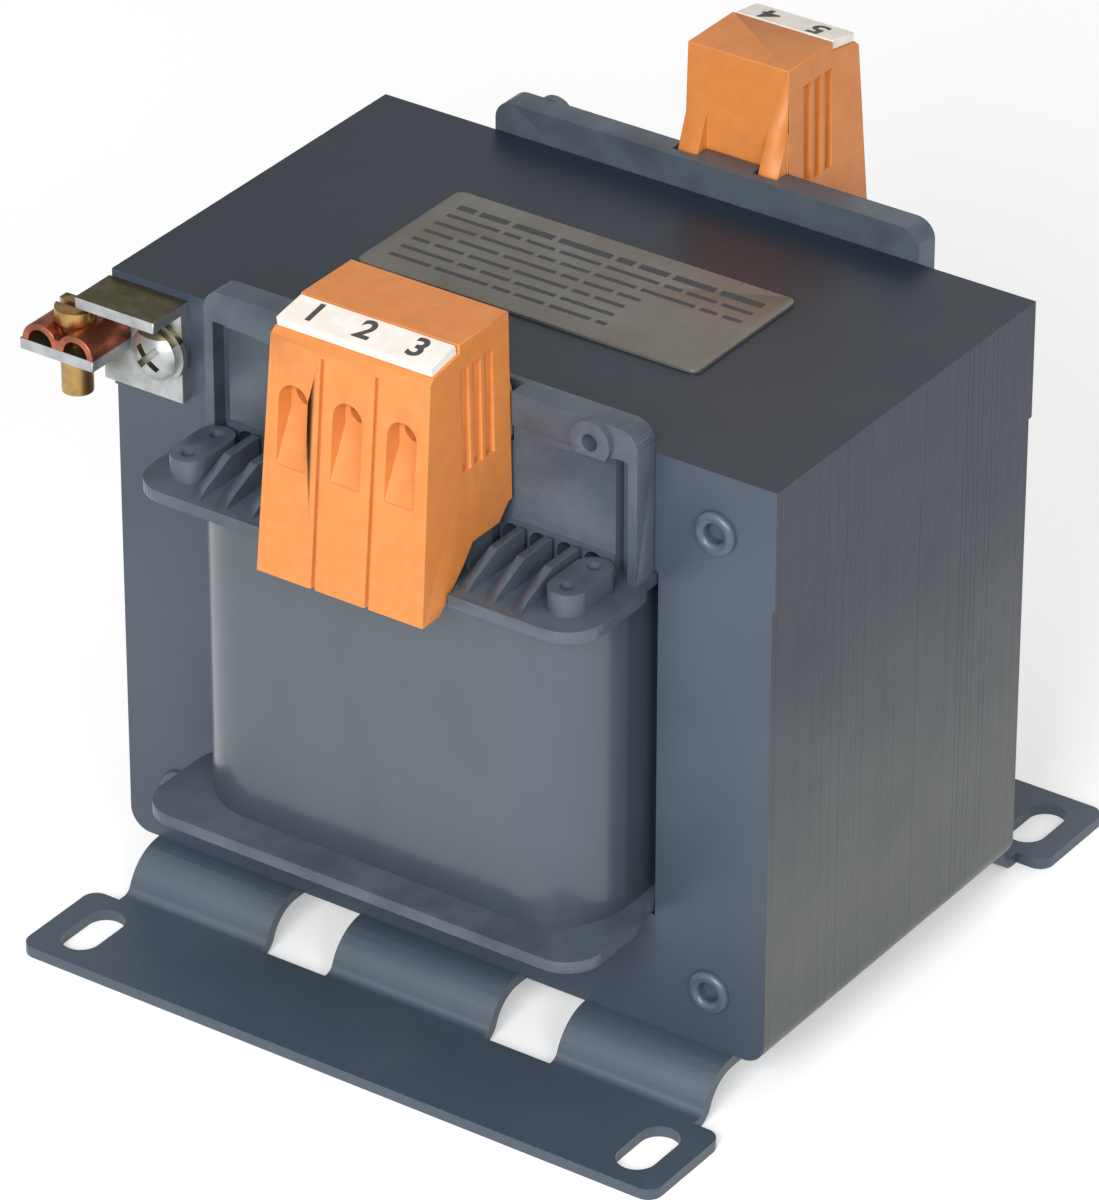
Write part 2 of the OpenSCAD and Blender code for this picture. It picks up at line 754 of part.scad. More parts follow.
module earth_bolt() {
    under_head = earth_face_y - washer_t;
    color(zinc) translate([-hole_x, under_head, hole_high_z]) difference() {
        union() {
            translate([0, -eps, 0]) pin_along_y(bolt_r, stack_y - under_head + nut_t + bolt_end);
            intersection() {
                translate([0, -bolt_head_t, 0]) pin_along_y(bolt_head_r, bolt_head_t);
                translate([0, bolt_dome_r - bolt_head_t, 0]) sphere(bolt_dome_r);
            }
        }
        for (a = [45, 135])
            rotate([0, a, 0]) translate([-recess_l / 2, -bolt_head_t - cut, -recess_w / 2])
                cube([recess_l, cut + recess_d, recess_w]);
    }
}

module earth_bolt_washer() {
    color(zinc) translate([-hole_x, earth_face_y - washer_t, hole_high_z]) difference() {
        pin_along_y(washer_r, washer_t);
        translate([0, -cut, 0]) pin_along_y(bolt_r + running, washer_t + 2 * cut);
    }
}

module earth_bolt_nut() {
    color(zinc) translate([-hole_x, stack_y, hole_high_z]) rotate([-90, 0, 0]) difference() {
        cylinder(d = nut_af / cos(30), h = nut_t, $fn = 6);
        translate([0, 0, -cut]) cylinder(r = bolt_r + running, h = nut_t + 2 * cut);
    }
}

// copper saddle: an arch on each side of its screw, for a wire under either
module earth_saddle_clamp() {
    color(copper) translate([clamp_x, clamp_y, tab_top_z]) difference() {
        along_stack(clamp_w) {
            for (s = [-1, 1], a = [0, 90])
                translate([s * clamp_r, 0]) ring_sector(clamp_r, clamp_r - clamp_t, a, a + 90);
            translate([-clamp_t, 0]) square([2 * clamp_t, clamp_r / 2]);
        }
        translate([0, 0, -cut]) cylinder(r = clamp_screw_r + running, h = clamp_r + 2 * cut);
    }
}

// slotted screw that pulls the saddle down by its two arches
module earth_clamp_screw() {
    shank = clamp_r + earth_t + clamp_screw_end;
    color(brass) translate([clamp_x, clamp_y, tab_top_z + clamp_r]) difference() {
        union() {
            translate([0, 0, -shank]) cylinder(r = clamp_screw_r, h = shank + eps);
            cylinder(r = clamp_head_r, h = clamp_head_t);
        }
        translate([-clamp_head_r, -recess_w / 2, clamp_head_t - recess_w])
            cube([2 * clamp_head_r, recess_w, cut + recess_w]);
    }
}

// ---------- rating plate ----------

module rating_plate() {
    color("silver") translate([0, plate_y, core_top]) linear_extrude(plate_t)
        round_rect(plate_w / 2, plate_d / 2, plate_r);
}

e_lamination_stack();
i_lamination_stack();
core_rivets();
front_foot();
rear_foot();
bobbin();
primary_winding();
interwinding_insulation();
secondary_winding();
coil_tape_wrap();
front_lead_wires();
rear_lead_wires();
front_terminal_housing();
front_terminal_contacts();
front_terminal_springs();
front_marker_strip();
rear_terminal_housing();
rear_terminal_contacts();
rear_terminal_springs();
rear_marker_strip();
earth_bracket();
earth_bolt();
earth_bolt_washer();
earth_bolt_nut();
earth_saddle_clamp();
earth_clamp_screw();
rating_plate();
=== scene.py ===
"""Dresses a laminated chassis transformer around its fixed frame of solids.

Every piece keeps the place and size that the frame gives. All lengths are in metres.
"""

import math

import bmesh
import bpy
from bpy.props import FloatProperty, FloatVectorProperty, IntProperty, PointerProperty
from mathutils import Euler, Matrix, Vector


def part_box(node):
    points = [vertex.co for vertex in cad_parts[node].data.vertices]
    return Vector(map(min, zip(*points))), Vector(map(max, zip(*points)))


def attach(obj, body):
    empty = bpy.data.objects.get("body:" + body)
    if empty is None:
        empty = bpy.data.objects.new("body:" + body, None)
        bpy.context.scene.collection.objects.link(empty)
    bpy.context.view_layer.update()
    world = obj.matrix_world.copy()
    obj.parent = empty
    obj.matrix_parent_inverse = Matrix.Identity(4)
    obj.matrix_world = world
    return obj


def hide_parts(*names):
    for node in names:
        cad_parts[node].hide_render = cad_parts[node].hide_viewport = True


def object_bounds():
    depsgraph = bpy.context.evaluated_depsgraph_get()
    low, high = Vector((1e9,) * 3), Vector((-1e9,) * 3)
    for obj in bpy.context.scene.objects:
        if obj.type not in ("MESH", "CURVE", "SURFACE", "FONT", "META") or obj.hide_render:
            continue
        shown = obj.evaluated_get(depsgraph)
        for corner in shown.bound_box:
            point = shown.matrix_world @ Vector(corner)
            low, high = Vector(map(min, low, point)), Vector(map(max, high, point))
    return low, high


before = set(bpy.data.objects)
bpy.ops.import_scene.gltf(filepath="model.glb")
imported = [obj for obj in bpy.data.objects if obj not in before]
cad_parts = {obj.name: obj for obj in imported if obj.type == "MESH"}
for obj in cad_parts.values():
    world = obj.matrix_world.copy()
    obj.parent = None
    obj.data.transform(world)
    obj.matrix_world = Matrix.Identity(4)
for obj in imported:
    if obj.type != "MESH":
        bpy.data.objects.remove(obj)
CAD_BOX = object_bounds()

bl_info = {
    "name": "Laminated transformer dressing",
    "version": (1, 0, 0),
    "blender": (4, 5, 0),
    "location": "3D View > Sidebar > Transformer",
    "description": "Sheets, varnish, tape, plastics and metals for a chassis transformer",
    "category": "Object",
}

MM = 0.001
BODY = "root"
STRIP_FALL = 0.9 / 5.2  # how much a marker strip falls per unit of depth
PRINT_HALF = 0.04 * MM  # half the thickness of a printed number
PRINT_BOLD = 0.12 * MM  # how much a number's strokes are widened on each side
WELD = 1e-6  # corners closer than this are one corner
SMOOTH = math.radians(32)  # sharper edges than this keep their crease


def linear(code):
    """The linear colour of a six-digit web colour."""
    parts = [int(code[i : i + 2], 16) / 255 for i in (0, 2, 4)]
    return tuple(c / 12.92 if c <= 0.04045 else ((c + 0.055) / 1.055) ** 2.4 for c in parts)


def colour(name, text, code):
    """A colour property that a user can change."""
    return FloatVectorProperty(
        name=name, description=text, subtype="COLOR", size=3, min=0.0, max=1.0, default=linear(code)
    )


def length(name, text, millimetres):
    """A length property that a user can change."""
    return FloatProperty(
        name=name, description=text, subtype="DISTANCE", unit="LENGTH", default=millimetres * MM
    )


# ---------------------------------------------------------------- properties


class CoreSettings(bpy.types.PropertyGroup):
    """The lamination sheets."""

    sheets: IntProperty(name="Sheets", description="Sheets in the stack", default=114, min=8, max=160)
    wander: length("Wander", "How far a sheet may lie out of line", 0.012)
    seed: IntProperty(name="Seed", description="Seed of the sheets' wander", default=7)
    face: colour("Face", "Varnish over a sheet's flat face", "404a58")
    # Painted shade: faces of the stack looking up or down take this darker colour.
    edge: colour("Top edges", "Varnish over the sheet edges on top", "1b2632")
    # Painted shade on the side edges near the top.
    side_shade_high: colour("Side edges, high", "Varnish over the side edges near the top", "0c1730")
    # Painted reflection of the floor on the side edges near the bottom.
    side_floor_reflection_low: colour("Side edges, low", "Varnish over the side edges near the bottom", "4b4f4d")


class SheetSettings(bpy.types.PropertyGroup):
    """The feet and rivets."""

    body: colour("Varnish", "Varnish over the feet", "424e5b")
    # Painted highlight along the foot's rolled bend, also used for lighter patches.
    lighter_patches_and_roll_highlight: colour("Thin varnish", "Where the varnish is thin on a bend", "5a6570")
    edge_round: length("Edge", "Rounding of the sheet's edges", 0.25)


class CoilSettings(bpy.types.PropertyGroup):
    """The bobbin and the taped coil."""

    tape: colour("Tape", "Varnished tape round the coil", "404a54")
    bobbin: colour("Bobbin", "Varnished moulding", "4c5661")
    edge_round: length("Edge", "Rounding of the moulding's edges", 0.2)


class TerminalSettings(bpy.types.PropertyGroup):
    """The terminal blocks."""

    plastic: colour("Housing", "Colour of the housings", "d48442")
    strip: colour("Strip", "Colour of the marker strips", "efe9e2")
    print: colour("Numbers", "Colour of the numbers", "3a3634")
    digit: length("Digit height", "Height of the numbers on the strips", 3.4)
    edge_round: length("Edge", "Rounding of the housings' edges", 0.15)


class EarthSettings(bpy.types.PropertyGroup):
    """The earth terminal."""

    zinc: colour("Zinc", "Plated steel", "b4b8b8")
    # Painted dark reflection that the upward faces take.
    olive_top_reflection: colour("Passivated zinc", "Yellowish zinc on the shelf", "6b6449")
    copper: colour("Copper", "The saddle", "b56a50")
    brass: colour("Brass", "The saddle's screw", "b8945c")
    edge_round: length("Edge", "Rounding of the edges", 0.15)


class PlateSettings(bpy.types.PropertyGroup):
    """The rating plate."""

    foil: colour("Foil", "Bare foil", "7e7c77")
    ink: colour("Ink", "Printed rules and bars", "2d2f33")
    rows: IntProperty(name="Rows", description="Rows of printed bars", default=7, min=1, max=12)


SETTINGS = {
    "transformer_core": CoreSettings,
    "transformer_sheet": SheetSettings,
    "transformer_coil": CoilSettings,
    "transformer_terminals": TerminalSettings,
    "transformer_earth": EarthSettings,
    "transformer_plate": PlateSettings,
}

# ------------------------------------------------------------- shader writing


class Signal:
    """A shader value that takes part in Python arithmetic."""

    def __init__(self, look, socket):
        self.look = look
        self.socket = socket

    def _math(self, operation, *values, clamp=False):
        links = dict(enumerate(values))
        return self.look.node("ShaderNodeMath", {"operation": operation, "use_clamp": clamp}, links)

    def __add__(self, other):
        return self._math("ADD", self, other)

    def __radd__(self, other):
        return self._math("ADD", other, self)

    def __sub__(self, other):
        return self._math("SUBTRACT", self, other)

    def __rsub__(self, other):
        return self._math("SUBTRACT", other, self)

    def __mul__(self, other):
        return self._math("MULTIPLY", self, other)

    def __rmul__(self, other):
        return self._math("MULTIPLY", other, self)

    def __truediv__(self, other):
        return self._math("DIVIDE", self, other)

    def __abs__(self):
        return self._math("ABSOLUTE", self)

    def above(self, other):
        return self._math("GREATER_THAN", self, other)

    def ramp(self, low, high):
        """0 at low and 1 at high, held between."""
        return self._math("MULTIPLY", self - low, 1 / (high - low), clamp=True)

    def wave(self, pitch):
        """A smooth ripple between 0 and 1 with this pitch."""
        return self._math("SINE", self * (math.tau / pitch)) * 0.5 + 0.5


class Look:
    """One material: a principled surface and the nodes that vary it."""

    def __init__(self, name, **constants):
        self.material = bpy.data.materials.new(name)
        self.material.use_nodes = True
        self.tree = self.material.node_tree
        self.surface = self.tree.nodes["Principled BSDF"]
        for key, value in constants.items():
            self.surface.inputs[key.replace("_", " ").title()].default_value = value

    def node(self, kind, settings, links, output=0):
        """Adds a node, sets it up, feeds its sockets and hands back one of its outputs."""
        made = self.tree.nodes.new(kind)
        for key, value in settings.items():
            setattr(made, key, value)
        for key, value in links.items():
            socket = made.inputs[key]
            if isinstance(value, Signal):
                self.tree.links.new(value.socket, socket)
            elif socket.type == "RGBA":
                socket.default_value = (*value, 1.0)
            else:
                socket.default_value = value
        return Signal(self, made.outputs[output])

    def place(self):
        """The point's coordinates on the object, in metres."""
        spot = self.node("ShaderNodeTexCoord", {}, {}, "Object")
        return [self.node("ShaderNodeSeparateXYZ", {}, {"Vector": spot}, i) for i in range(3)]

    def facing(self):
        """The three parts of the surface's outward direction."""
        normal = self.node("ShaderNodeTexCoord", {}, {}, "Normal")
        return [self.node("ShaderNodeSeparateXYZ", {}, {"Vector": normal}, i) for i in range(3)]

    def noise(self, size, detail=3.0, stretch=(1.0, 1.0, 1.0)):
        """Noise whose features are about this long."""
        spot = self.node("ShaderNodeTexCoord", {}, {}, "Object")
        if stretch != (1.0, 1.0, 1.0):
            spot = self.node("ShaderNodeMapping", {}, {"Vector": spot, "Scale": stretch})
        return self.node("ShaderNodeTexNoise", {}, {"Vector": spot, "Scale": 1 / size, "Detail": detail})

    def mix(self, factor, low, high):
        """A colour between two colours."""
        return self.node("ShaderNodeMix", {"data_type": "RGBA"}, {0: factor, 6: low, 7: high}, 2)

    def bump(self, height, depth):
        """Raises the surface by up to this depth where the height is 1."""
        return self.node("ShaderNodeBump", {}, {"Height": height, "Distance": depth, "Strength": 1.0})

    def feed(self, **signals):
        for key, signal in signals.items():
            self.tree.links.new(signal.socket, self.surface.inputs[key.replace("_", " ").title()])
        return self.material


def core_varnish(core):
    """Varnish over the stack: pale on the flat faces, darker over the cut edges, with painted shade on the top edges
    and side edges that go from a painted floor reflection near the bottom to painted shade near the top.
    """
    look = Look("core_varnish", metallic=0.0)
    low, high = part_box("e_lamination_stack")[0].z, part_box("i_lamination_stack")[1].z
    x, y, z = look.place()
    nx, ny, nz = look.facing()
    patches = look.noise(16 * MM, 3.0)
    drips = look.noise(5 * MM, 2.0, (1.0, 1.0, 0.25))
    height = (z + patches * (12 * MM) - drips * (6 * MM)).ramp(low, high)
    # The side edges go from a painted floor reflection low down to painted shade up high.
    side = look.mix(height.ramp(0.25, 0.75), core.side_floor_reflection_low, core.side_shade_high)
    # Faces looking up or down take the top-edge colour, a painted shade.
    edges = look.mix(abs(nz).above(0.5), side, core.edge)
    whole = look.mix(abs(ny).above(0.5), edges, core.face)
    tone = look.mix(patches.ramp(0.3, 0.85) * 0.3, whole, core.edge)
    peel = look.noise(1.6 * MM, 2.0)
    return look.feed(
        base_color=tone,
        roughness=0.3 + patches * 0.16,
        normal=look.bump(peel * 0.6 + drips * 0.4, 0.05 * MM),
    )


def sheet_varnish(sheet):
    """Varnish over sheet steel, with a painted highlight where the foot's sheet rolls over."""
    look = Look("sheet_varnish", metallic=0.0)
    patches = look.noise(12 * MM, 3.0)
    peel = look.noise(1.4 * MM, 2.0)
    nx, ny, nz = look.facing()
    # Painted highlight: faces leaning between front and top, on the roll, are lightened.
    roll_highlight_mask = abs(ny).ramp(0.25, 0.75) * abs(nz).ramp(0.2, 0.6)
    tone = look.mix(roll_highlight_mask * 0.8 + patches.ramp(0.45, 0.9) * 0.25, sheet.body, sheet.lighter_patches_and_roll_highlight)
    return look.feed(
        base_color=tone,
        roughness=0.3 + patches * 0.15,
        normal=look.bump(peel, 0.04 * MM),
    )


def bobbin_varnish(coil):
    """Varnish lying thicker in patches over a glass-filled moulding."""
    look = Look("bobbin_varnish", metallic=0.0)
    patches = look.noise(7 * MM, 4.0)
    peel = look.noise(1.2 * MM, 3.0)
    darker = tuple(0.45 * c for c in coil.bobbin)
    tone = look.mix(patches.ramp(0.42, 0.75) * 0.7, coil.bobbin, darker)
    return look.feed(
        base_color=tone,
        roughness=0.26 + patches * 0.2,
        normal=look.bump(peel * 0.7 + patches * 0.3, 0.08 * MM),
    )


def tape_varnish(coil):
    """Varnished tape: faint overlaps, a slow ripple, drips that ran down and painted shade over its lowest part."""
    look = Look("tape_varnish", metallic=0.0, coat_weight=0.5, coat_roughness=0.14)
    x, y, z = look.place()
    patches = look.noise(18 * MM, 3.0)
    drips = look.noise(6 * MM, 3.0, (1.0, 1.0, 0.3))
    low, high = (corner.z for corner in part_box("coil_tape_wrap"))
    # Painted shade over the lowest part of the coil, patchy; the same mask also roughens the bump there.
    low_shade_and_wrinkles = (high - z).ramp(0.72 * (high - low), high - low)
    darker = tuple(0.55 * c for c in coil.tape)
    tone = look.mix(drips.ramp(0.5, 0.85) * 0.35 + low_shade_and_wrinkles * patches * 0.6, coil.tape, darker)
    ripple = (z + patches * (5 * MM)).wave(7.4 * MM)
    return look.feed(
        base_color=tone,
        roughness=0.27 + drips * 0.18,
        normal=look.bump(ripple * 0.35 + drips * 0.5 + low_shade_and_wrinkles * patches, 0.12 * MM),
    )


def moulded_plastic(name, base, size=2.2):
    """Satin moulded plastic with a faint mottle and a fine spark-eroded texture."""
    look = Look(name, metallic=0.0)
    mottle = look.noise(size * MM, 3.0)
    texture = look.noise(0.35 * MM, 2.0)
    darker = tuple(c * k for c, k in zip(base, (0.84, 0.74, 0.62)))
    return look.feed(
        base_color=look.mix(mottle.ramp(0.35, 0.8) * 0.55, base, darker),
        roughness=0.42 + mottle * 0.16,
        normal=look.bump(texture, 0.012 * MM),
    )


def bright_metal(name, base, tarnish, roughness=0.3):
    """Bare or plated metal with fine scratches and tarnish in patches."""
    look = Look(name, metallic=1.0)
    patches = look.noise(2.6 * MM, 3.0)
    scratches = look.noise(0.5 * MM, 2.0, (1.0, 6.0, 1.0))
    return look.feed(
        base_color=look.mix(patches.ramp(0.4, 0.75), base, tarnish),
        roughness=roughness + patches * 0.2,
        normal=look.bump(scratches, 0.01 * MM),
    )


def zinc_plate(earth):
    """Zinc plate with a darker olive colour on its upward faces, a painted reflection."""
    look = Look("zinc_plate", metallic=0.85)
    nx, ny, nz = look.facing()
    patches = look.noise(2.4 * MM, 3.0)
    darker = tuple(0.55 * c for c in earth.olive_top_reflection)
    painted_top_reflection = look.mix(patches.ramp(0.35, 0.7), earth.olive_top_reflection, darker)
    grey = tuple(0.7 * c for c in earth.zinc)
    silver = look.mix(patches.ramp(0.4, 0.75), earth.zinc, grey)
    return look.feed(
        # Upward faces take the olive colour as a painted reflection.
        base_color=look.mix(nz.above(0.5), silver, painted_top_reflection),
        roughness=0.28 + patches * 0.25,
        normal=look.bump(patches, 0.02 * MM),
    )


def foil(plate):
    """Satin foil with a slight grain along its length."""
    look = Look("plate_foil", metallic=0.55)
    grain = look.noise(0.4 * MM, 2.0, (0.1, 1.0, 1.0))
    patches = look.noise(9 * MM, 3.0)
    warm = tuple(c * k for c, k in zip(plate.foil, (0.86, 0.8, 0.72)))
    return look.feed(
        base_color=look.mix(patches.ramp(0.35, 0.7), plate.foil, warm),
        roughness=0.36 + patches * 0.14,
        normal=look.bump(grain, 0.006 * MM),
    )


def ink(name, base):
    """Printed ink, slightly uneven."""
    look = Look(name, metallic=0.0)
    patches = look.noise(0.8 * MM, 2.0)
    lighter = tuple(min(1.0, 1.6 * c + 0.01) for c in base)
    return look.feed(base_color=look.mix(patches, base, lighter), roughness=0.45 + patches * 0.2)


# ------------------------------------------------------------- making pieces


def link(piece):
    bpy.context.scene.collection.objects.link(piece)
    return piece


def welded_copy(node, name):
    """A copy of a frame solid with its corners joined and its flat faces whole."""
    piece = link(bpy.data.objects.new(name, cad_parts[node].data.copy()))
    shape = bmesh.new()
    shape.from_mesh(piece.data)
    bmesh.ops.remove_doubles(shape, verts=shape.verts, dist=WELD)
    shape.to_mesh(piece.data)
    shape.free()
    return piece


def smooth(piece, angle=SMOOTH):
    """Shades a mesh smooth apart from its creases."""
    piece.data.shade_smooth()
    piece.data.set_sharp_from_angle(angle=angle)


def paint(piece, material):
    piece.data.materials.clear()
    piece.data.materials.append(material)


def settle(piece, slot, *nodes):
    """The piece rides on the body and stands for the solids."""
    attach(piece, BODY)
    if nodes:
        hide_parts(*nodes)
    return piece


def dress(node, name, material, slot, edge_round):
    """Replaces a solid with a copy of itself whose edges are slightly rounded."""
    piece = welded_copy(node, name)
    paint(piece, material)
    rounding = piece.modifiers.new("edge_round", "BEVEL")
    rounding.width = edge_round
    rounding.segments = 2
    rounding.limit_method = "ANGLE"
    rounding.angle_limit = math.radians(38)
    rounding.use_clamp_overlap = True
    rounding.harden_normals = False
    smooth(piece)
    return settle(piece, slot, node)


def finish_nodes(nodes, material):
    """Gives frame solids that stay visible a better material."""
    for name in nodes:
        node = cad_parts[name]
        if not node.material_slots:
            node.data.materials.append(material)
        for holder in node.material_slots:
            holder.material = material


class Graph:
    """One Geometry Nodes tree with named inputs."""

    def __init__(self, name, sockets):
        self.tree = bpy.data.node_groups.new(name, "GeometryNodeTree")
        face = self.tree.interface
        face.new_socket("Geometry", in_out="OUTPUT", socket_type="NodeSocketGeometry")
        face.new_socket("Geometry", in_out="INPUT", socket_type="NodeSocketGeometry")
        for label, kind in sockets.items():
            face.new_socket(label, in_out="INPUT", socket_type=kind)
        self.given = self.tree.nodes.new("NodeGroupInput").outputs
        self.result = self.tree.nodes.new("NodeGroupOutput").inputs[0]

    def node(self, kind, settings, links, output=0):
        made = self.tree.nodes.new(kind)
        for key, value in settings.items():
            setattr(made, key, value)
        for key, value in links.items():
            if isinstance(value, bpy.types.NodeSocket):
                self.tree.links.new(value, made.inputs[key])
            else:
                made.inputs[key].default_value = value
        return made.outputs[output]

    def close(self, geometry, material):
        """Ends the tree with real geometry and its material."""
        real = self.node("GeometryNodeRealizeInstances", {}, {"Geometry": geometry})
        painted = self.node("GeometryNodeSetMaterial", {}, {"Geometry": real, "Material": material})
        self.tree.links.new(painted, self.result)

    def run(self, piece, **values):
        """Applies the tree to a piece and leaves a plain mesh."""
        modifier = piece.modifiers.new("rule", "NODES")
        modifier.node_group = self.tree
        for item in self.tree.interface.items_tree:
            if item.in_out == "INPUT" and item.name in values:
                modifier[item.identifier] = values[item.name]
        graph = bpy.context.evaluated_depsgraph_get()
        mesh = bpy.data.meshes.new_from_object(piece.evaluated_get(graph))
        piece.modifiers.remove(modifier)
        piece.data = mesh
        return piece


def sheet_stack_graph(material):
    """Repeats one sheet along Y, each a little out of line with the last."""
    graph = Graph(
        "sheet_stack",
        {"Count": "NodeSocketInt", "Pitch": "NodeSocketFloat", "Wander": "NodeSocketFloat", "Seed": "NodeSocketInt"},
    )
    pitch = graph.given["Pitch"]
    step = graph.node("ShaderNodeCombineXYZ", {}, {"Y": pitch})
    span = graph.node("ShaderNodeMath", {"operation": "MULTIPLY"}, {0: pitch, 1: graph.given["Count"]})
    first = graph.node("ShaderNodeMath", {"operation": "MULTIPLY_ADD"}, {0: span, 1: -0.5, 2: 0.0})
    half = graph.node("ShaderNodeMath", {"operation": "MULTIPLY_ADD"}, {0: pitch, 1: 0.5, 2: first})
    start = graph.node("ShaderNodeCombineXYZ", {}, {"Y": half})
    line = graph.node(
        "GeometryNodeMeshLine",
        {"mode": "OFFSET"},
        {"Count": graph.given["Count"], "Start Location": start, "Offset": step},
    )
    sheets = graph.node(
        "GeometryNodeInstanceOnPoints", {}, {"Points": line, "Instance": graph.given["Geometry"]}
    )
    low = graph.node("ShaderNodeMath", {"operation": "MULTIPLY"}, {0: graph.given["Wander"], 1: -1.0})
    lowest = graph.node("ShaderNodeCombineXYZ", {}, {"X": low, "Z": low})
    highest = graph.node("ShaderNodeCombineXYZ", {}, {"X": graph.given["Wander"], "Z": 0.0})
    drift = graph.node(
        "FunctionNodeRandomValue",
        {"data_type": "FLOAT_VECTOR"},
        {0: lowest, 1: highest, "Seed": graph.given["Seed"]},
    )
    moved = graph.node("GeometryNodeTranslateInstances", {}, {"Instances": sheets, "Translation": drift})
    graph.close(moved, material)
    return graph


# ----------------------------------------------------------------- operators


class TRANSFORMER_OT_core(bpy.types.Operator):
    """Builds both stacks out of separate varnished sheets"""

    bl_idname = "transformer.core"
    bl_label = "Lamination sheets"

    def execute(self, context):
        core = context.scene.transformer_core
        varnish = core_varnish(core)
        graph = sheet_stack_graph(varnish)
        for node, name in (("e_lamination_stack", "e_sheets"), ("i_lamination_stack", "i_sheets")):
            low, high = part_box(node)
            pitch = (high.y - low.y) / core.sheets
            sheet = welded_copy(node, name)
            sheet.data.transform(Matrix.Diagonal((1.0, 1 / core.sheets, 1.0, 1.0)))
            graph.run(sheet, Count=core.sheets, Pitch=pitch, Wander=core.wander, Seed=core.seed)
            settle(sheet, "varnished_core", node)
        return {"FINISHED"}


class TRANSFORMER_OT_feet(bpy.types.Operator):
    """Finishes the feet and the rivets"""

    bl_idname = "transformer.feet"
    bl_label = "Feet and rivets"

    def execute(self, context):
        sheet = context.scene.transformer_sheet
        varnish = sheet_varnish(sheet)
        for end in ("front", "rear"):
            dress(f"{end}_foot", f"{end}_foot_sheet", varnish, "varnished_sheet", sheet.edge_round)
        finish_nodes(["core_rivets"], varnish)
        return {"FINISHED"}


class TRANSFORMER_OT_coil(bpy.types.Operator):
    """Finishes the bobbin, the windings and the tape round them"""

    bl_idname = "transformer.coil"
    bl_label = "Bobbin and coil"

    def execute(self, context):
        coil = context.scene.transformer_coil
        dress("bobbin", "bobbin_moulding", bobbin_varnish(coil), "varnished_bobbin", coil.edge_round)
        finish_nodes(["coil_tape_wrap"], tape_varnish(coil))
        wire = bright_metal("winding_wire", linear("b8693c"), linear("8c4a28"))
        finish_nodes(["primary_winding", "secondary_winding", "front_lead_wires", "rear_lead_wires"], wire)
        finish_nodes(["interwinding_insulation"], moulded_plastic("layer_insulation", linear("ded2b4")))
        return {"FINISHED"}


def number_piece(name, text, material, height, where, lean, turn):
    """A flat number lying on a leaning strip."""
    curve = bpy.data.curves.new(name, "FONT")
    curve.body = text
    curve.size = height / 0.72
    curve.extrude = PRINT_HALF
    curve.offset = PRINT_BOLD
    curve.align_x = "CENTER"
    curve.align_y = "CENTER"
    holder = link(bpy.data.objects.new(name + "_text", curve))
    graph = bpy.context.evaluated_depsgraph_get()
    mesh = bpy.data.meshes.new_from_object(holder.evaluated_get(graph))
    bpy.data.objects.remove(holder)
    tilt = Euler((lean, 0.0, 0.0)).to_matrix().to_4x4()
    swing = Matrix.Rotation(turn, 4, "Z")
    mesh.transform(Matrix.Translation(where) @ swing @ tilt)
    piece = link(bpy.data.objects.new(name, mesh))
    paint(piece, material)
    return piece


class TRANSFORMER_OT_terminals(bpy.types.Operator):
    """Finishes the terminal blocks and numbers their marker strips"""

    bl_idname = "transformer.terminals"
    bl_label = "Terminal blocks"

    def execute(self, context):
        terminals = context.scene.transformer_terminals
        plastic = moulded_plastic("housing_plastic", tuple(terminals.plastic))
        white = moulded_plastic("strip_plastic", tuple(terminals.strip))
        black = ink("marker_ink", tuple(terminals.print))
        brass = bright_metal("contact_brass", linear("c9b88c"), linear("9a8a62"))
        steel = bright_metal("spring_steel", linear("b9bcbf"), linear("8f9396"), 0.22)
        lean = math.atan(STRIP_FALL)
        number = 0
        for end, poles, turn in (("front", 3, 0.0), ("rear", 2, math.pi)):
            dress(
                f"{end}_terminal_housing", f"{end}_housing", plastic, "terminal_plastic", terminals.edge_round
            )
            dress(f"{end}_marker_strip", f"{end}_strip", white, "marker_white", 0.12 * MM)
            finish_nodes([f"{end}_terminal_contacts"], brass)
            finish_nodes([f"{end}_terminal_springs"], steel)
            low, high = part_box(f"{end}_marker_strip")
            pitch = (high.x - low.x) / poles
            for i in range(poles):
                number += 1
                drop = STRIP_FALL * (high.y - low.y) / 2 - PRINT_HALF
                spot = Vector((low.x + (i + 0.5) * pitch, (low.y + high.y) / 2, high.z - drop))
                digit = number_piece(
                    f"{end}_number_{i + 1}", str(number), black, terminals.digit, spot, lean, turn
                )
                settle(digit, "marker_white")
        return {"FINISHED"}


class TRANSFORMER_OT_earth(bpy.types.Operator):
    """Finishes the earth terminal"""

    bl_idname = "transformer.earth"
    bl_label = "Earth terminal"

    def execute(self, context):
        earth = context.scene.transformer_earth
        zinc = zinc_plate(earth)
        copper = bright_metal("bare_copper", tuple(earth.copper), linear("7c4a3c"), 0.32)
        brass = bright_metal("screw_brass", tuple(earth.brass), linear("7d6038"), 0.3)
        dress("earth_bracket", "earth_bracket_sheet", zinc, "zinc_steel", earth.edge_round)
        dress("earth_saddle_clamp", "earth_saddle", copper, "clamp_copper", earth.edge_round)
        dress("earth_clamp_screw", "earth_screw", brass, "screw_brass", earth.edge_round)
        finish_nodes(["earth_bolt", "earth_bolt_washer", "earth_bolt_nut"], zinc)
        return {"FINISHED"}


def bar(shape, low_x, high_x, low_y, high_y, low_z, high_z):
    """Adds one printed bar to a mesh being built."""
    corners = [(x, y, z) for z in (low_z, high_z) for y in (low_y, high_y) for x in (low_x, high_x)]
    made = [shape.verts.new(corner) for corner in corners]
    for face in ((0, 2, 3, 1), (4, 5, 7, 6), (0, 1, 5, 4), (2, 6, 7, 3), (0, 4, 6, 2), (1, 3, 7, 5)):
        shape.faces.new([made[i] for i in face])


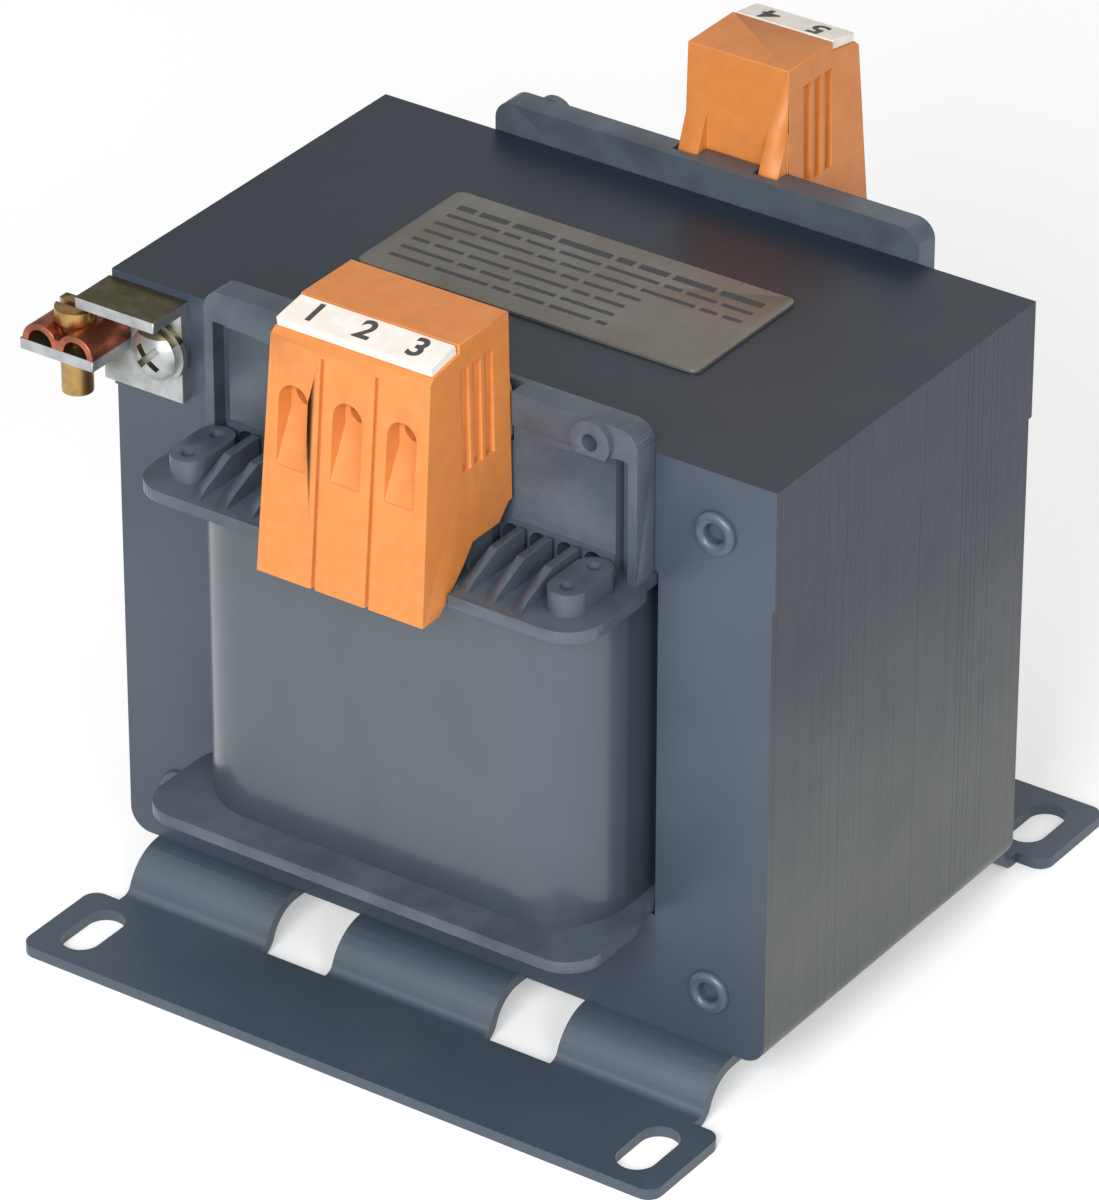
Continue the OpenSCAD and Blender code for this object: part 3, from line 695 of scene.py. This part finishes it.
class TRANSFORMER_OT_plate(bpy.types.Operator):
    """Finishes the rating plate and prints plain rules and bars on it"""

    bl_idname = "transformer.plate"
    bl_label = "Rating plate"

    def execute(self, context):
        plate = context.scene.transformer_plate
        dress("rating_plate", "plate", foil(plate), "plate_foil", 0.08 * MM)
        low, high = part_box("rating_plate")
        wide, deep = high.x - low.x, high.y - low.y
        margin = 0.05 * wide
        base, top = high.z - 0.05 * MM, high.z + 0.015 * MM
        shape = bmesh.new()
        row = (deep - 2 * margin) / plate.rows
        for r in range(plate.rows):
            y = high.y - margin - (r + 0.5) * row
            thick = row * (0.5 if r == 0 else 0.3)
            x = low.x + margin
            end = high.x - margin - (0.26 * wide if r > 2 else 0.0)
            k = 0
            while x < end:
                run = wide * (0.05 + 0.035 * ((3 * r + 5 * k) % 4))
                bar(shape, x, min(x + run, end), y - thick / 2, y + thick / 2, base, top)
                x += run + 0.016 * wide
                k += 1
        print_mesh = bpy.data.meshes.new("plate_print")
        shape.to_mesh(print_mesh)
        shape.free()
        piece = link(bpy.data.objects.new("plate_print", print_mesh))
        paint(piece, ink("plate_ink", tuple(plate.ink)))
        settle(piece, "plate_foil")
        return {"FINISHED"}


# --------------------------------------------------------------------- stage


def lamp(name, aim, azimuth, elevation, distance, size, power):
    """A soft square lamp that looks at the object from this direction."""
    data = bpy.data.lights.new(name, "AREA")
    data.shape = "SQUARE"
    data.size = size
    data.energy = power
    holder = link(bpy.data.objects.new(name, data))
    a, e = math.radians(azimuth), math.radians(elevation)
    back = Vector((math.sin(a) * math.cos(e), -math.cos(a) * math.cos(e), math.sin(e)))
    holder.location = aim + back * distance
    holder.rotation_euler = (-back).to_track_quat("-Z", "Y").to_euler()
    return holder


class TRANSFORMER_OT_stage(bpy.types.Operator):
    """Sets up the floor, the lamps, the world and the camera"""

    bl_idname = "transformer.stage"
    bl_label = "Stage"

    def execute(self, context):
        scene = context.scene
        scene.view_settings.view_transform = "Standard"
        low, high = CAD_BOX
        aim = Vector((0.0, 0.0, (low.z + high.z) / 2))
        self.camera(scene)
        self.floor(low.z)
        self.world(scene)
        lamp("key_lamp", aim, 17, 28, 0.9, 0.35, 6.4)
        lamp("fill_lamp", aim, 52, 28, 1.1, 0.3, 3.6)
        lamp("top_lamp", aim, -60, 70, 1.0, 0.7, 0.9)
        lamp("back_lamp", aim, 190, 35, 1.2, 0.9, 1.2)
        return {"FINISHED"}

    def camera(self, scene):
        data = bpy.data.cameras.new("camera")
        data.lens = 231.4
        holder = link(bpy.data.objects.new("camera", data))
        turn = Euler((math.radians(90 - 30.6), 0.0, math.radians(34.655))).to_matrix()
        roll = Matrix.Rotation(math.radians(0.089), 3, "Z")
        holder.matrix_world = Matrix.Translation((0.46657, -0.67968, 0.52971)) @ (turn @ roll).to_4x4()
        scene.camera = holder

    def floor(self, level):
        shape = bmesh.new()
        bmesh.ops.create_grid(shape, x_segments=1, y_segments=1, size=6.0)
        mesh = bpy.data.meshes.new("floor")
        shape.to_mesh(mesh)
        shape.free()
        mesh.transform(Matrix.Translation((0.0, 0.0, level - 0.02 * MM)))
        floor = link(bpy.data.objects.new("floor", mesh))
        look = Look("floor_paint", base_color=(0.8, 0.8, 0.8, 1.0), roughness=0.9)
        seen = look.node("ShaderNodeLightPath", {}, {}, "Is Camera Ray")
        glossy = look.node("ShaderNodeLightPath", {}, {}, "Is Glossy Ray")
        clear = look.node("ShaderNodeLightPath", {}, {}, "Is Transmission Ray")
        glow = look.node("ShaderNodeEmission", {}, {"Color": (1.0, 1.0, 1.0), "Strength": 0.35})
        paint_and_glow = look.node("ShaderNodeAddShader", {}, {})
        tree = look.tree
        adder = paint_and_glow.socket.node
        tree.links.new(look.surface.outputs[0], adder.inputs[0])
        tree.links.new(glow.socket, adder.inputs[1])
        chooser = look.node("ShaderNodeMixShader", {}, {0: (seen + glossy + clear).ramp(0.0, 1.0)})
        tree.links.new(look.surface.outputs[0], chooser.socket.node.inputs[1])
        tree.links.new(adder.outputs[0], chooser.socket.node.inputs[2])
        tree.links.new(chooser.socket, tree.nodes["Material Output"].inputs["Surface"])
        paint(floor, look.material)

    def world(self, scene):
        world = bpy.data.worlds.new("studio")
        world.use_nodes = True
        scene.world = world
        tree = world.node_tree
        paths = tree.nodes.new("ShaderNodeLightPath")
        either = tree.nodes.new("ShaderNodeMath")
        either.operation = "MAXIMUM"
        tree.links.new(paths.outputs["Is Camera Ray"], either.inputs[0])
        tree.links.new(paths.outputs["Is Transmission Ray"], either.inputs[1])
        strength = tree.nodes.new("ShaderNodeMapRange")
        strength.inputs["To Min"].default_value = 0.42
        strength.inputs["To Max"].default_value = 1.0
        tree.links.new(either.outputs[0], strength.inputs["Value"])
        background = tree.nodes["Background"]
        background.inputs["Color"].default_value = (1.0, 1.0, 1.0, 1.0)
        tree.links.new(strength.outputs[0], background.inputs["Strength"])


OPERATORS = (
    TRANSFORMER_OT_stage,
    TRANSFORMER_OT_core,
    TRANSFORMER_OT_feet,
    TRANSFORMER_OT_coil,
    TRANSFORMER_OT_terminals,
    TRANSFORMER_OT_earth,
    TRANSFORMER_OT_plate,
)


class TRANSFORMER_PT_panel(bpy.types.Panel):
    """Lists the pieces and their settings"""

    bl_idname = "TRANSFORMER_PT_panel"
    bl_label = "Transformer"
    bl_space_type = "VIEW_3D"
    bl_region_type = "UI"
    bl_category = "Transformer"

    def draw(self, context):
        for operator in OPERATORS:
            self.layout.operator(operator.bl_idname)
        for holder, group in SETTINGS.items():
            settings = getattr(context.scene, holder)
            box = self.layout.box()
            box.label(text=group.__doc__)
            for key in group.__annotations__:
                box.prop(settings, key)


CLASSES = (*SETTINGS.values(), *OPERATORS, TRANSFORMER_PT_panel)


def register():
    for item in CLASSES:
        bpy.utils.register_class(item)
    for holder, group in SETTINGS.items():
        setattr(bpy.types.Scene, holder, PointerProperty(type=group))


def unregister():
    for holder in SETTINGS:
        delattr(bpy.types.Scene, holder)
    for item in reversed(CLASSES):
        bpy.utils.unregister_class(item)


def main():
    register()
    for operator in OPERATORS:
        family, action = operator.bl_idname.split(".")
        getattr(getattr(bpy.ops, family), action)()


if __name__ == "__main__":
    main()
